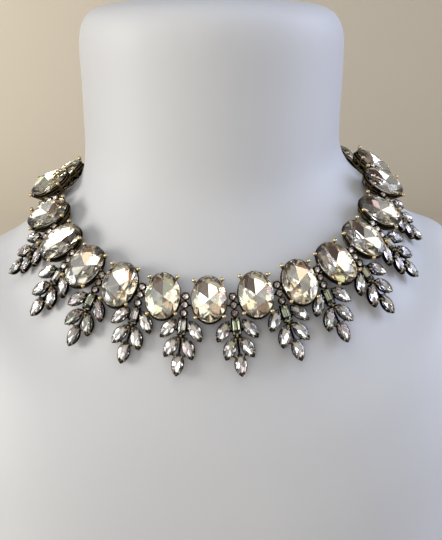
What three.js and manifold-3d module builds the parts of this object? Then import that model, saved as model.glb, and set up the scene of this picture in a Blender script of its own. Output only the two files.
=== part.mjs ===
// Bib necklace of large oval crystals on a plain neck bust.
// Millimetres, +Z up, the front of the bust facing -Y, its base on z = 0.
import * as THREE from 'three';
import { mergeVertices } from 'three/examples/jsm/utils/BufferGeometryUtils.js';
import Module from 'manifold-3d';

const wasm = await Module();
wasm.setup();

// ---- driving dimensions -------------------------------------------------
const GAP = 0.3;                     // air between pieces that only touch

// the loop that the middles of the oval stones follow round the neck
const LOOP_HALF_WIDTH = 66;
const LOOP_MIDDLE_Y = -14.5;
const LOOP_FRONT_DEPTH = 50;
const LOOP_FRONT_Z = 110.7;
const LOOP_RISE = 36.8;              // from the throat up to the sides
const TURN_IN = 0.15;                // past the sides it turns in to the nape
const NAPE_Y = 50;
const NAPE_RISE = 3;
const ROLL = 0.04;                   // the viewer's right shoulder stands higher

// how the surface under the loop faces
const FRONT_LIFT_DEG = 27;           // upward lean of the surface at the throat
const SIDE_LIFT_DEG = 18;            // how much more it leans up at the sides
const NAPE_LIFT_DEG = 25;
const TURN_DEG = -40;                // the sides face forward of straight out

// the row of links
const LINK_COUNT = 16;
const LINK_PITCH = 17.25;
const ROW_SLIP = 6.3;                // the row has slid toward the viewer's right
const CORNER_STEPS = 5.5;
const CORNER_EASE = 1.5;

// how far each oval leans in its own plane, and how the bar to its right leans,
// sinks under the girdles and hangs lower than the row
const LINKS = [
  { link: 0, oval: 0, bar: -3, sink: 1.3, low: 0, hasDrop: false },
  { link: 1, oval: -6, bar: -6, sink: 1.4, low: 0, hasDrop: false },
  { link: 2, oval: -11, bar: -9, sink: 1.1, low: 1.8, hasDrop: true },
  { link: 3, oval: -3, bar: 1, sink: 1.1, low: 2, hasDrop: true },
  { link: 4, oval: 6, bar: 1, sink: 1.1, low: 2.4, hasDrop: true },
  { link: 5, oval: 9, bar: 0, sink: 1.3, low: 1.1, hasDrop: true },
  { link: 6, oval: 10, bar: -2, sink: 1.1, low: 2.2, hasDrop: true },
  { link: 7, oval: 2, bar: 1, sink: 1.1, low: 2.6, hasDrop: true },
  { link: 8, oval: -7, bar: 2, sink: 1.1, low: 1.3, hasDrop: true },
  { link: 9, oval: -12, bar: -3, sink: 1.1, low: 1.4, hasDrop: true },
  { link: 10, oval: 0, bar: 1, sink: 1.1, low: 2.4, hasDrop: true },
  { link: 11, oval: 1, bar: 4, sink: 1.1, low: 2, hasDrop: true },
  { link: 12, oval: 5, bar: 8, sink: 1.1, low: 2, hasDrop: true },
  { link: 13, oval: 10, bar: 5, sink: 1.6, low: 0, hasDrop: false },
  { link: 14, oval: 0, bar: 0, sink: 1.6, low: 0, hasDrop: false },
  { link: 15, oval: 0, bar: 0, sink: 1.1, low: 0, hasDrop: false },
];

// oval stone, half sizes and heights from the girdle
const OVAL_LONG = 9;
const OVAL_WIDE = 6.5;
const OVAL_GIRDLE = 0.2;
const OVAL_TABLE_Z = 2.5;
const OVAL_CULET_Z = -4;

// oval setting: a tapering openwork basket with four ball prongs
const BASKET_SIDES = 12;
const BASKET_LEVELS = [
  // z, half length and half width outside, wall
  { z: -0.9, long: 9.4, wide: 6.9, wall: 0.55 },
  { z: -1.75, long: 9.2, wide: 6.7, wall: 0.7 },
  { z: -4.3, long: 7.7, wide: 5.3, wall: 0.8 },
  { z: -5.2, long: 7.2, wide: 4.8, wall: 0.9 },
];
const PRONG_BALL_R = 0.74;
const PRONG_WIRE_R = 0.4;

// drop: three round stones, a baguette and five navettes in one casting
const CUP_DEPTH = 1.8;
const CROWN_RISE = 0.9;
const ROUND_PITCH = 3.05;
const ROUND_R = 1.62;
const BAGUETTE_HALF = { wide: 1.95, long: 3.45 };
const BOSS_HALF = { wide: 1.8, long: 0.9 };
const NAVETTE_HALF = { wide: 2.45, long: 4.6 };
const DROP_STONES = [
  // x, y of the middle below the bar's middle, turn from upright
  { name: 'upper', x: 5.0, y: -9.2, turn: 35 },
  { name: 'lower', x: 3.3, y: -15.8, turn: 25 },
];
const BAGUETTE_Y = -7.95;
const BOSS_Y = -12.2;
const TIP_STONE_Y = -21.9;
const ARM_HALF = { wide: 3.4, long: 0.5 };  // joins the upper pair to the baguette
const DROP_TILT_FRONT_DEG = 17.5;      // the drop leans back toward the chest
const DROP_TILT_SIDE_DEG = 8;

// neck bust
const BUST_STEPS = 36;
const BUST_TOP_Z = 220;
const NECK_HALF = { wide: 50, deep: 43 };
const NECK_FLARE = 3.4;
const NECK_SHIFT = -1.5;               // the neck stands a little to the viewer's left
const SURFACE_DROP = 6.4;            // from the girdles down to the bust
const SLOPE_BEND_DEG = 13;           // how far the chest bends away under the drops
const SLOPE_SIDE_DEG = 8;            // and how much more it does at the sides
const SHOULDER_HALF = { wide: 102, front: 73, back: 74 };
const SHOULDER_Z = 134.5;               // height where the outline starts to round over
const CHEST_FALL = 66;                 // how much lower it is at the throat
const SIDE_FALL = 26;                  // from the tops of the shoulders forward
const NAPE_FALL = 30;                  // and at the nape

// chain and clasp behind the neck
const CHAIN_R = 1.3;
const CHAIN_LIFT = 1.9;              // middle of the chain above the bust
const CLASP = { long: 13, wide: 6, thick: 2.6 };

const rad = THREE.MathUtils.degToRad;

// ---- the loop -----------------------------------------------------------
function loopPoint(t) {
  const c = Math.cos(t);
  const front = Math.max(c, -TURN_IN);
  const back = Math.max(0, -TURN_IN - c) / (1 - TURN_IN);
  const x = LOOP_HALF_WIDTH * Math.sin(t);
  const sideY = LOOP_MIDDLE_Y - LOOP_FRONT_DEPTH * front;
  const sideZ = LOOP_FRONT_Z + LOOP_RISE * (1 - front);
  const y = sideY + (NAPE_Y - sideY) * back ** 0.95;
  return new THREE.Vector3(x, y, sideZ + NAPE_RISE * back + ROLL * x);
}

function smooth(a, b, v) {
  const u = Math.min(1, Math.max(0, (v - a) / (b - a)));
  return u * u * (3 - 2 * u);
}

function surfaceNormal(t) {
  const turn = t + rad(TURN_DEG) * Math.sin(t);
  const front = FRONT_LIFT_DEG + SIDE_LIFT_DEG * (1 - Math.cos(t));
  const back = smooth(rad(100), Math.PI, Math.abs(t));
  const lift = rad(front + (NAPE_LIFT_DEG - front) * back);
  const flat = Math.cos(lift);
  return new THREE.Vector3(flat * Math.sin(turn), -flat * Math.cos(turn), Math.sin(lift));
}

// frame on the loop: along the chain, outward down the body, out of the surface
function loopFrame(t) {
  const at = loopPoint(t);
  const out = surfaceNormal(t);
  const along = loopPoint(t + 0.005).sub(loopPoint(t - 0.005));
  along.addScaledVector(out, -along.dot(out)).normalize();
  const down = new THREE.Vector3().crossVectors(along, out);
  return { at, along, down, out };
}

// angle on the loop at a distance along it from the throat
function angleAt(distance) {
  const step = 0.002 * Math.sign(distance || 1);
  let t = 0;
  let walked = 0;
  let last = loopPoint(0);
  while (walked < Math.abs(distance)) {
    t += step;
    const next = loopPoint(t);
    walked += next.distanceTo(last);
    last = next;
  }
  return t;
}

// matrix of a link: x along the chain, y up, z out of the surface
function linkMatrix(t, leanDeg, tiltDeg, sink, low = 0) {
  const f = loopFrame(t);
  const m = new THREE.Matrix4().makeBasis(f.along, f.down.clone().negate(), f.out);
  m.setPosition(f.at);
  const spin = new THREE.Matrix4().makeRotationZ(rad(leanDeg));
  const tilt = new THREE.Matrix4().makeRotationX(rad(tiltDeg));
  const push = new THREE.Matrix4().makeTranslation(0, -low, -sink);
  return m.multiply(spin).multiply(push).multiply(tilt);
}

// ---- solids -------------------------------------------------------------
// a closed skin over rings of points that all have the same count
function skin(rings) {
  const count = rings[0].length;
  const points = rings.flat();
  const faces = [];
  for (let r = 0; r + 1 < rings.length; r += 1) {
    for (let i = 0; i < count; i += 1) {
      const a = r * count + i;
      const b = r * count + ((i + 1) % count);
      faces.push(a, b, b + count, a, b + count, a + count);
    }
  }
  const top = (rings.length - 1) * count;
  for (let i = 1; i + 1 < count; i += 1) {
    faces.push(0, i + 1, i);
    faces.push(top, top + i, top + i + 1);
  }
  return meshGeometry(points, faces);
}

function meshGeometry(points, faces) {
  const g = new THREE.BufferGeometry();
  const flat = points.flatMap((p) => [p.x, p.y, p.z]);
  g.setAttribute('position', new THREE.Float32BufferAttribute(flat, 3));
  g.setIndex(faces);
  g.computeVertexNormals();
  return g;
}

function toManifold(geometry) {
  let g = geometry.clone();
  g.deleteAttribute('normal');
  g.deleteAttribute('uv');
  g = mergeVertices(g, 1e-5);
  const mesh = new wasm.Mesh({
    numProp: 3,
    vertProperties: Float32Array.from(g.attributes.position.array),
    triVerts: Uint32Array.from(g.index.array),
  });
  mesh.merge();
  return new wasm.Manifold(mesh);
}

function fromManifold(solid) {
  const mesh = solid.getMesh();
  const g = new THREE.BufferGeometry();
  g.setAttribute('position', new THREE.BufferAttribute(Float32Array.from(mesh.vertProperties), 3));
  g.setIndex(new THREE.BufferAttribute(Uint32Array.from(mesh.triVerts), 1));
  g.computeVertexNormals();
  return g;
}

function joined(geometries) {
  let solid = toManifold(geometries[0]);
  for (const g of geometries.slice(1)) {
    solid = solid.add(toManifold(g));
  }
  return fromManifold(solid);
}

function ovalRing(long, wide, z, count, shift = 0) {
  const ring = [];
  for (let i = 0; i < count; i += 1) {
    const a = ((i + shift) / count) * 2 * Math.PI;
    ring.push(new THREE.Vector3(wide * Math.cos(a), long * Math.sin(a), z));
  }
  return ring;
}

// ---- oval stone ---------------------------------------------------------
// joins a ring of n points to a ring of 2n points outside it
function starFaces(inner, outer, n, up) {
  const faces = [];
  for (let i = 0; i < n; i += 1) {
    const a = inner + i;
    const b = inner + ((i + 1) % n);
    const p = outer + 2 * i;
    const q = outer + ((2 * i + 1) % (2 * n));
    const r = outer + ((2 * i + 2) % (2 * n));
    faces.push([a, p, q], [a, q, b], [b, q, r]);
  }
  return faces.flatMap((f) => (up ? f : [f[0], f[2], f[1]]));
}

function ovalStone() {
  const n = 8;
  const points = [
    ...ovalRing(0.52 * OVAL_LONG, 0.52 * OVAL_WIDE, OVAL_TABLE_Z, n),
    ...ovalRing(0.8 * OVAL_LONG, 0.8 * OVAL_WIDE, 1.45, n, 0.5),
    ...ovalRing(OVAL_LONG, OVAL_WIDE, OVAL_GIRDLE, 2 * n, 1),
    ...ovalRing(OVAL_LONG, OVAL_WIDE, -OVAL_GIRDLE, 2 * n, 1),
    ...ovalRing(0.45 * OVAL_LONG, 0.45 * OVAL_WIDE, -2, n, 0.5),
    new THREE.Vector3(0, 0, OVAL_CULET_Z),
  ];
  const faces = [];
  for (let i = 1; i + 1 < n; i += 1) {
    faces.push(0, i, i + 1);
  }
  for (let i = 0; i < n; i += 1) {
    const j = (i + 1) % n;
    faces.push(i, n + i, j, j, n + i, n + j);
  }
  faces.push(...starFaces(n, 2 * n, n, true));
  for (let i = 0; i < 2 * n; i += 1) {
    const j = (i + 1) % (2 * n);
    faces.push(2 * n + i, 4 * n + i, 4 * n + j, 2 * n + i, 4 * n + j, 2 * n + j);
  }
  faces.push(...starFaces(6 * n, 4 * n, n, false));
  for (let i = 0; i < n; i += 1) {
    faces.push(6 * n + i, 7 * n, 6 * n + ((i + 1) % n));
  }
  return meshGeometry(points, faces);
}

// ---- oval setting -------------------------------------------------------
function basketRings(level) {
  const outer = ovalRing(level.long, level.wide, level.z, BASKET_SIDES);
  const inner = ovalRing(level.long - level.wall, level.wide - level.wall, level.z, BASKET_SIDES);
  return [outer, inner];
}

// openwork wall: a strut behind each prong, and a wide window between struts
function basket() {
  const n = BASKET_SIDES;
  const rings = BASKET_LEVELS.flatMap(basketRings);
  const points = rings.flat();
  const at = (level, inner, i) => (2 * level + inner) * n + (i % n);
  const faces = [];
  const quad = (a, b, c, d) => faces.push(a, b, c, a, c, d);
  for (let i = 0; i < n; i += 1) {
    const j = i + 1;
    quad(at(0, 0, i), at(0, 0, j), at(0, 1, j), at(0, 1, i));
    quad(at(3, 0, j), at(3, 0, i), at(3, 1, i), at(3, 1, j));
    const open = i % 3 !== 1;
    const opens = open && i % 3 === 2;
    for (let level = 0; level < 3; level += 1) {
      if (open && level === 1) {
        continue;
      }
      const low = level + 1;
      quad(at(low, 0, i), at(low, 0, j), at(level, 0, j), at(level, 0, i));
      quad(at(low, 1, j), at(low, 1, i), at(level, 1, i), at(level, 1, j));
    }
    if (open) {
      quad(at(1, 0, i), at(1, 1, i), at(1, 1, j), at(1, 0, j));
      quad(at(2, 0, j), at(2, 1, j), at(2, 1, i), at(2, 0, i));
      if (opens) {
        quad(at(1, 0, i), at(2, 0, i), at(2, 1, i), at(1, 1, i));
      } else {
        quad(at(2, 0, j), at(1, 0, j), at(1, 1, j), at(2, 1, j));
      }
    }
  }
  return meshGeometry(points, faces);
}

// a wire that leans out from the upper rim and ends in a ball
function prong(sx, sy) {
  const foot = new THREE.Vector3(sx * 4.2, sy * 6.1, -1.35);
  const head = new THREE.Vector3(sx * 5.42, sy * 7.35, 0.5);
  const along = new THREE.Vector3().subVectors(head, foot).normalize();
  const ringAt = (middle, step, radius) => ovalRing(radius, radius, 0, 4).map(
    (p) => p.add(middle).addScaledVector(along, step));
  return skin([
    ringAt(foot, 0, PRONG_WIRE_R),
    ringAt(head, -0.75, PRONG_WIRE_R),
    ringAt(head, 0, PRONG_BALL_R),
    ringAt(head, 0.6, 0.45 * PRONG_BALL_R),
  ]);
}

function ovalSetting() {
  const prongs = [[1, 1], [-1, 1], [-1, -1], [1, -1]].map(([sx, sy]) => prong(sx, sy));
  return joined([basket(), ...prongs]);
}

// ---- drops and bars -----------------------------------------------------
// a stone in its cup: a straight wall, then a crown that slopes up to a ridge
function cuppedStone(outline, ridge, rise) {
  const count = outline.length;
  const points = [-CUP_DEPTH, 0].flatMap((z) => outline.map(([x, y]) => new THREE.Vector3(x, y, z)));
  points.push(new THREE.Vector3(0, ridge, rise), new THREE.Vector3(0, -ridge, rise));
  const crest = (i) => 2 * count + (points[count + (i % count)].y >= 0 ? 0 : 1);
  const faces = [];
  for (let i = 0; i < count; i += 1) {
    const j = (i + 1) % count;
    faces.push(i, j, count + j, i, count + j, count + i);
    faces.push(count + i, count + j, crest(i));
    if (crest(i) !== crest(j)) {
      faces.push(crest(i), count + j, crest(j));
    }
  }
  for (let i = 1; i + 1 < count; i += 1) {
    faces.push(0, i + 1, i);
  }
  return meshGeometry(points, faces);
}

function navetteOutline() {
  const { wide, long } = NAVETTE_HALF;
  return [[0, long], [-wide * 0.86, long * 0.42], [-wide * 0.86, -long * 0.42],
    [0, -long], [wide * 0.86, -long * 0.42], [wide * 0.86, long * 0.42]];
}

function roundOutline(radius) {
  const points = [];
  for (let i = 0; i < 6; i += 1) {
    const a = ((i + 0.5) / 6) * 2 * Math.PI;
    points.push([radius * Math.cos(a), radius * Math.sin(a)]);
  }
  return points;
}

function boxOutline(wide, long) {
  return [[wide, long], [-wide, long], [-wide, -long], [wide, -long]];
}

function placed(geometry, x, y, turnDeg = 0) {
  geometry.rotateZ(rad(turnDeg));
  geometry.translate(x, y, 0);
  return geometry;
}

function plate(x, y, halfWide, halfLong, low, high) {
  const g = new THREE.BoxGeometry(2 * halfWide, 2 * halfLong, high - low);
  g.translate(x, y, (low + high) / 2);
  return g;
}

// three round stones one below the other, their cups run together
function bar() {
  return [1, 0, -1].map((row) => placed(
    cuppedStone(roundOutline(ROUND_R), 0.3, CROWN_RISE), 0, row * ROUND_PITCH));
}

function cluster() {
  const pieces = [];
  const { wide, long } = BAGUETTE_HALF;
  pieces.push(placed(cuppedStone(boxOutline(wide, long), 0.55 * long, 0.9), 0, BAGUETTE_Y));
  pieces.push(placed(cuppedStone(boxOutline(BOSS_HALF.wide, BOSS_HALF.long), 0.3, 0.5), 0, BOSS_Y));
  for (const stone of DROP_STONES) {
    for (const side of [1, -1]) {
      const g = cuppedStone(navetteOutline(), 0.4 * NAVETTE_HALF.long, CROWN_RISE);
      pieces.push(placed(g, side * stone.x, stone.y, side * stone.turn));
    }
  }
  const tip = cuppedStone(navetteOutline(), 0.4 * NAVETTE_HALF.long, CROWN_RISE);
  pieces.push(placed(tip, 0, TIP_STONE_Y));
  const strutTop = BOSS_Y;
  const strutEnd = TIP_STONE_Y + NAVETTE_HALF.long - 1;
  const half = (strutTop - strutEnd) / 2;
  pieces.push(plate(0, strutEnd + half, 0.45, half, -CUP_DEPTH + 0.3, -0.6));
  pieces.push(plate(0, DROP_STONES[0].y, ARM_HALF.wide, ARM_HALF.long, -CUP_DEPTH + 0.3, -0.7));
  return pieces;
}

// ---- neck bust ----------------------------------------------------------
function neckPoint(t, z, scale = 1) {
  const flare = NECK_FLARE * Math.max(0, (z - 155) / 50) ** 1.5;
  const x = (NECK_HALF.wide + flare) * Math.sin(t) * scale;
  const y = -(NECK_HALF.deep + flare) * Math.cos(t) * scale;
  return new THREE.Vector3(x + NECK_SHIFT, y, z);
}

function surfacePoint(t) {
  const f = loopFrame(t);
  return f.at.addScaledVector(f.out, -SURFACE_DROP);
}

// a point further down the body from the loop, where the surface bends away
function slopePoint(t, reach, bendPart) {
  const f = loopFrame(t);
  const side = Math.abs(Math.sin(t)) ** 2;
  const ridge = 22 * smooth(rad(84), rad(118), Math.abs(t));
  const bend = rad(SLOPE_BEND_DEG + SLOPE_SIDE_DEG * side - ridge) * bendPart;
  const from = surfacePoint(t);
  from.addScaledVector(f.down, reach * Math.cos(bend));
  from.addScaledVector(f.out, -reach * Math.sin(bend));
  return from;
}

function outerPoint(t, z, grow) {
  const s = Math.sin(t);
  const c = Math.cos(t);
  const deep = c > 0 ? SHOULDER_HALF.front : SHOULDER_HALF.back;
  const x = SHOULDER_HALF.wide * Math.sign(s) * Math.abs(s) ** 0.75;
  const y = -deep * Math.sign(c) * Math.abs(c) ** 0.75;
  return new THREE.Vector3(x * grow, y * grow, z);
}

function bustProfile(t) {
  const c = Math.cos(t);
  const edge = outerPoint(t, 0, 0.97);
  const low = outerPoint(t, 4, 1);
  const fall = c > 0 ? CHEST_FALL * c ** 1.4 : -NAPE_FALL * c;
  const ahead = SIDE_FALL * smooth(rad(104), rad(82), Math.abs(t));
  const brow = outerPoint(t, SHOULDER_Z - fall - ahead, 0.985);
  brow.z += ROLL * brow.x;
  const narrow = neckPoint(t, 167 - (c > 0 ? 21 : 12) * c);
  const neck = neckPoint(t, 190 - 6 * c);
  const rim = neckPoint(t, BUST_TOP_Z - 14);
  const back = smooth(rad(100), Math.PI, Math.abs(t));
  const above = slopePoint(t, -10 * (1 - 0.8 * back), 0);
  const keys = [low, brow, slopePoint(t, 30, 1), slopePoint(t, 10, 0.55), above, narrow, neck, rim];
  const curve = new THREE.CatmullRomCurve3(keys, false, 'centripetal');
  const stops = [0, 0.6, 1.3, 2, 2.5, 3, 3.5, 4, 4.4, 5, 6, 7];
  const side = stops.map((k) => curve.getPoint(k / 7));
  const crown = [[0.985, 8], [0.93, 3.2], [0.8, 0.8], [0.55, 0]];
  const top = crown.map(([scale, down]) => neckPoint(t, BUST_TOP_Z - down, scale));
  return [edge, ...side, ...top];
}

function neckBust() {
  const profiles = [];
  for (let i = 0; i < BUST_STEPS; i += 1) {
    profiles.push(bustProfile((i / BUST_STEPS) * 2 * Math.PI - Math.PI));
  }
  const rings = profiles[0].map((_, row) => profiles.map((p) => p[row]));
  return skin(rings);
}

// ---- chain and clasp ----------------------------------------------------
class BackPath extends THREE.Curve {
  constructor(from, to) {
    super();
    this.from = from;
    this.to = to;
  }

  getPoint(u, target = new THREE.Vector3()) {
    const t = this.from + (this.to - this.from) * u;
    const f = loopFrame(t);
    const lift = CHAIN_LIFT - SURFACE_DROP;
    return target.copy(f.at).addScaledVector(f.out, lift);
  }
}

function circleShape(radius, sides) {
  const points = [];
  for (let i = 0; i < sides; i += 1) {
    const a = (i / sides) * 2 * Math.PI;
    points.push(new THREE.Vector2(radius * Math.cos(a), radius * Math.sin(a)));
  }
  return new THREE.Shape(points);
}

function chain(from, to, steps) {
  const path = new BackPath(from, to);
  return new THREE.ExtrudeGeometry(circleShape(CHAIN_R, 8), { steps, extrudePath: path });
}

function clasp() {
  const { long, wide, thick } = CLASP;
  const outline = [];
  for (let i = 0; i < 12; i += 1) {
    const a = ((i + 0.5) / 12) * 2 * Math.PI;
    const x = (long / 2) * Math.sign(Math.cos(a)) * Math.abs(Math.cos(a)) ** 0.7;
    outline.push([x, (wide / 2) * Math.sin(a)]);
  }
  const ring = (scale, z) => outline.map(([x, y]) => new THREE.Vector3(x * scale, y * scale, z));
  return skin([ring(0.86, -thick / 2), ring(1, -thick / 4), ring(1, thick / 4), ring(0.86, thick / 2)]);
}

// ---- assembly -----------------------------------------------------------
const FINISH = {
  bust: { color: 0xe9e8e4, roughness: 0.75, metalness: 0 },
  brass: { color: 0x8a6d36, roughness: 0.4, metalness: 1 },
  dark: { color: 0x4a4238, roughness: 0.45, metalness: 0.8 },
  crystal: { color: 0xe6ddd0, roughness: 0.05, metalness: 0 },
};

const group = new THREE.Group();

function addPiece(name, geometry, finish) {
  const mesh = new THREE.Mesh(geometry, new THREE.MeshStandardMaterial(FINISH[finish]));
  mesh.name = name;
  group.add(mesh);
  return mesh;
}

// the links stand a little further apart where the row turns in behind the neck
function linkAngle(index) {
  const steps = index - (LINK_COUNT - 1) / 2;
  const past = Math.max(0, Math.abs(steps) - CORNER_STEPS);
  return angleAt(steps * LINK_PITCH + Math.sign(steps) * past * CORNER_EASE + ROW_SLIP);
}

function twoDigits(n) {
  return String(n).padStart(2, '0');
}

function addOvals() {
  const stone = ovalStone();
  const setting = ovalSetting();
  for (const row of LINKS) {
    const m = linkMatrix(linkAngle(row.link), row.oval, 0, 0);
    const label = twoDigits(row.link + 1);
    addPiece(`oval_setting_${label}`, setting.clone().applyMatrix4(m), 'brass');
    addPiece(`oval_stone_${label}`, stone.clone().applyMatrix4(m), 'crystal');
  }
}

function addBars() {
  const plain = joined(bar());
  const full = joined([...bar(), ...cluster()]);
  let drops = 0;
  let bars = 0;
  for (const row of LINKS.slice(0, -1)) {
    const t = linkAngle(row.link + 0.5);
    if (row.hasDrop) {
      drops += 1;
      const tilt = DROP_TILT_FRONT_DEG + DROP_TILT_SIDE_DEG * (1 - Math.cos(t));
      const m = linkMatrix(t, row.bar, tilt, row.sink, row.low);
      addPiece(`leaf_drop_${twoDigits(drops)}`, full.clone().applyMatrix4(m), 'dark');
    } else {
      bars += 1;
      const m = linkMatrix(t, row.bar, 0, row.sink);
      addPiece(`stone_bar_${twoDigits(bars)}`, plain.clone().applyMatrix4(m), 'dark');
    }
  }
}

function addBack() {
  const nape = Math.PI;
  const claspHalf = (CLASP.long / 2 + GAP + 0.8) / LOOP_HALF_WIDTH;
  const start = linkAngle(LINK_COUNT - 1 + 0.62);
  const end = linkAngle(-0.62) + 2 * Math.PI;
  addPiece('chain_right', chain(start, nape - claspHalf, 14), 'brass');
  addPiece('chain_left', chain(nape + claspHalf, end, 14), 'brass');
  const m = linkMatrix(nape, 0, 0, SURFACE_DROP - CHAIN_LIFT);
  addPiece('clasp', clasp().applyMatrix4(m), 'brass');
}

addPiece('neck_bust', neckBust(), 'bust');
addOvals();
addBars();
addBack();

export default group;
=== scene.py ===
# %% [markdown]
# # A crystal bib necklace on a neck bust
# This lesson dresses a finished CAD model of a necklace. The CAD part already says where
# every setting, stone and drop lies, so the first step loads it as a fixed frame, and
# everything made below takes its place from the shapes found in that frame.

# %% Load the frame
import bpy
import math
import random
import numpy as np
from mathutils import Matrix, Vector


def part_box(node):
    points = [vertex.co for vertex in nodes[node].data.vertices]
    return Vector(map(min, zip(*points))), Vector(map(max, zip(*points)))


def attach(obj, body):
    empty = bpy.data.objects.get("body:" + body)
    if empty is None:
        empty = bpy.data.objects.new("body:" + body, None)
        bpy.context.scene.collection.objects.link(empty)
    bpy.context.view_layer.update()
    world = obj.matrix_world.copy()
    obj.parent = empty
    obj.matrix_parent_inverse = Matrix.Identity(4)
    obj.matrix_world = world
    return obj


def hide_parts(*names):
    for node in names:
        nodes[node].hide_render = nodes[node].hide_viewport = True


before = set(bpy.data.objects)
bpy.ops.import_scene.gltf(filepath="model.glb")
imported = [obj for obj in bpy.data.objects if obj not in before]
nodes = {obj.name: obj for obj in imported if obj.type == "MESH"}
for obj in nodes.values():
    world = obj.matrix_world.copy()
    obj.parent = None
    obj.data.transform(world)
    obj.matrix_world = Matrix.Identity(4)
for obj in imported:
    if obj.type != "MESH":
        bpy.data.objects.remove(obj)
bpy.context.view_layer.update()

MM = 0.001
oval_names = sorted(n for n in nodes if n.startswith("oval_stone"))
drop_names = sorted(n for n in nodes if n.startswith("leaf_drop"))
bar_names = sorted(n for n in nodes if n.startswith("stone_bar"))
print(len(oval_names), "ovals,", len(drop_names), "drops,", len(bar_names), "plain bars")

# %% [markdown]
# ## Where each link lies
# A link of the necklace is a rigid little casting, so one place and three directions say
# all about it. They can be read from the CAD solid: an oval stone is longest along its
# length and thinnest through its depth, so its principal axes are its own axes, and its
# culet is the point furthest from the middle. A drop has one large flat back, so the
# back's normal gives the depth, and the mirror symmetry gives the rest.
# Each result is a matrix, with x along the necklace, y up and z out of the chest.

# %% Read a stone's own axes
INWARD, UPWARD = 0.5, 0.9       # a link's own up leans to the neck and rises
CROWN_HEIGHT = 2.5 * MM         # from the girdle, where the origin lies, to the table


def corner_points(name):
    points = np.array([v.co for v in nodes[name].data.vertices], float)
    return np.unique(np.round(points, 6), axis=0)


def own_matrix(across, up, out, origin):
    m = Matrix.Identity(4)
    for column, axis in enumerate((across, up, out, origin)):
        for row in range(3):
            m[row][column] = axis[row]
    return m


def uphill(axis, at):
    inward = np.array([-at[0], -at[1], 0.0])
    inward /= np.linalg.norm(inward)
    return axis if axis @ (INWARD * inward + [0, 0, UPWARD]) > 0 else -axis


def stone_matrix(name):
    points = corner_points(name)
    middle = points.mean(0)
    _, _, axes = np.linalg.svd(points - middle)
    out = axes[2]
    depth = (points - middle) @ out
    if -depth.min() < depth.max():
        out, depth = -out, -depth
    up = uphill(axes[0], middle)
    origin = middle + out * (depth.max() - CROWN_HEIGHT)
    return own_matrix(np.cross(up, out), up, out, origin)


# %% Read a casting's own axes
BACK_DEPTH = 1.8 * MM           # from the rims of the cups down to the flat back
DROP_TOP_MM = 4.67              # from a drop's upper end to its middle round stone


def back_normal(name):
    mesh = nodes[name].data
    areas = {}
    for face in mesh.polygons:
        key = tuple(round(c, 2) for c in face.normal)
        areas.setdefault(key, [0.0, Vector((0, 0, 0))])
        areas[key][0] += face.area
        areas[key][1] += face.normal * face.area
    return np.array(max(areas.values(), key=lambda a: a[0])[1].normalized())


def casting_matrix(name, top_mm):
    """The origin is the middle round stone, top_mm below the upper end.
    A plain bar has that stone in its own middle, which is what None says."""
    out = -back_normal(name)
    points = corner_points(name)
    middle = points.mean(0)
    flat = points - middle
    flat = flat - np.outer(flat @ out, out)
    _, _, axes = np.linalg.svd(flat)
    up = uphill(axes[0], middle)
    along = (points - middle) @ up
    low, high = along.min(), along.max()
    y = (low + high) / 2 if top_mm is None else high - top_mm * MM
    z = ((points - middle) @ out).min() + BACK_DEPTH
    return own_matrix(np.cross(up, out), up, out, middle + up * y + out * z)


oval_at = {n: stone_matrix(n) for n in oval_names}
drop_at = {n: casting_matrix(n, DROP_TOP_MM) for n in drop_names}
bar_at = {n: casting_matrix(n, None) for n in bar_names}
link_at = {**oval_at, **drop_at, **bar_at}
for n in (oval_names[7], drop_names[5], bar_names[0]):
    print(n, "at", [round(v / MM, 1) for v in link_at[n].translation])

# %% [markdown]
# ## A small kit for jewellery shapes
# Wire, hoops, balls and cups make up nearly all of the metal here. Blender's curves and
# modifiers could make each of them, but thousands of small pieces are quicker as plain
# lists of points and faces that are gathered into one mesh. A `Casting` collects them, in
# millimetres, with two values on every face corner: `rub` says how far handling has worn
# the black off the metal, and `tone` gives each facet of a crystal its own tint, which on
# some facets is a painted dark reflection.

# %% The casting that collects points and faces
def one_each(value, faces):
    return value if isinstance(value, (list, np.ndarray)) else [value] * len(faces)


class Casting:
    def __init__(self):
        self.points = []
        self.faces = []
        self.slots = []
        self.rub = []
        self.tone = []
        self.smooth = []

    def add(self, part, slot=0, rub=0.0, tone=0.0, smooth=True, move=None):
        points, faces = part
        points = np.asarray(points, float)
        if move is not None:
            m = np.array(move)
            points = points @ m[:3, :3].T + m[:3, 3]
        start = len(self.points)
        worn = np.broadcast_to(np.asarray(rub, float), (len(points),))
        self.points.extend(points.tolist())
        self.slots.extend(one_each(slot, faces))
        self.smooth.extend([smooth] * len(faces))
        for face, facet_tone in zip(faces, one_each(tone, faces)):
            self.faces.append([start + i for i in face])
            self.rub.extend(worn[i] for i in face)
            self.tone.extend([facet_tone] * len(face))

    def mesh(self, name, materials):
        mesh = bpy.data.meshes.new(name)
        mesh.from_pydata((np.array(self.points) * MM).tolist(), [], self.faces)
        for material in materials:
            mesh.materials.append(material)
        mesh.polygons.foreach_set("material_index", self.slots)
        mesh.polygons.foreach_set("use_smooth", self.smooth)
        for label, values in (("rub", self.rub), ("tone", self.tone)):
            layer = mesh.attributes.new(label, "FLOAT", "CORNER")
            layer.data.foreach_set("value", np.array(values, np.float32))
        mesh.update()
        return mesh


# %% Rings, lofts and hoops
def circle(count):
    a = np.arange(count) / count * 2 * math.pi
    return np.stack([np.cos(a), np.sin(a)], 1)


def oval_line(wide, long, z, count):
    ring = circle(count) * [wide, long]
    return np.column_stack([ring, np.full(count, z)])


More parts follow.
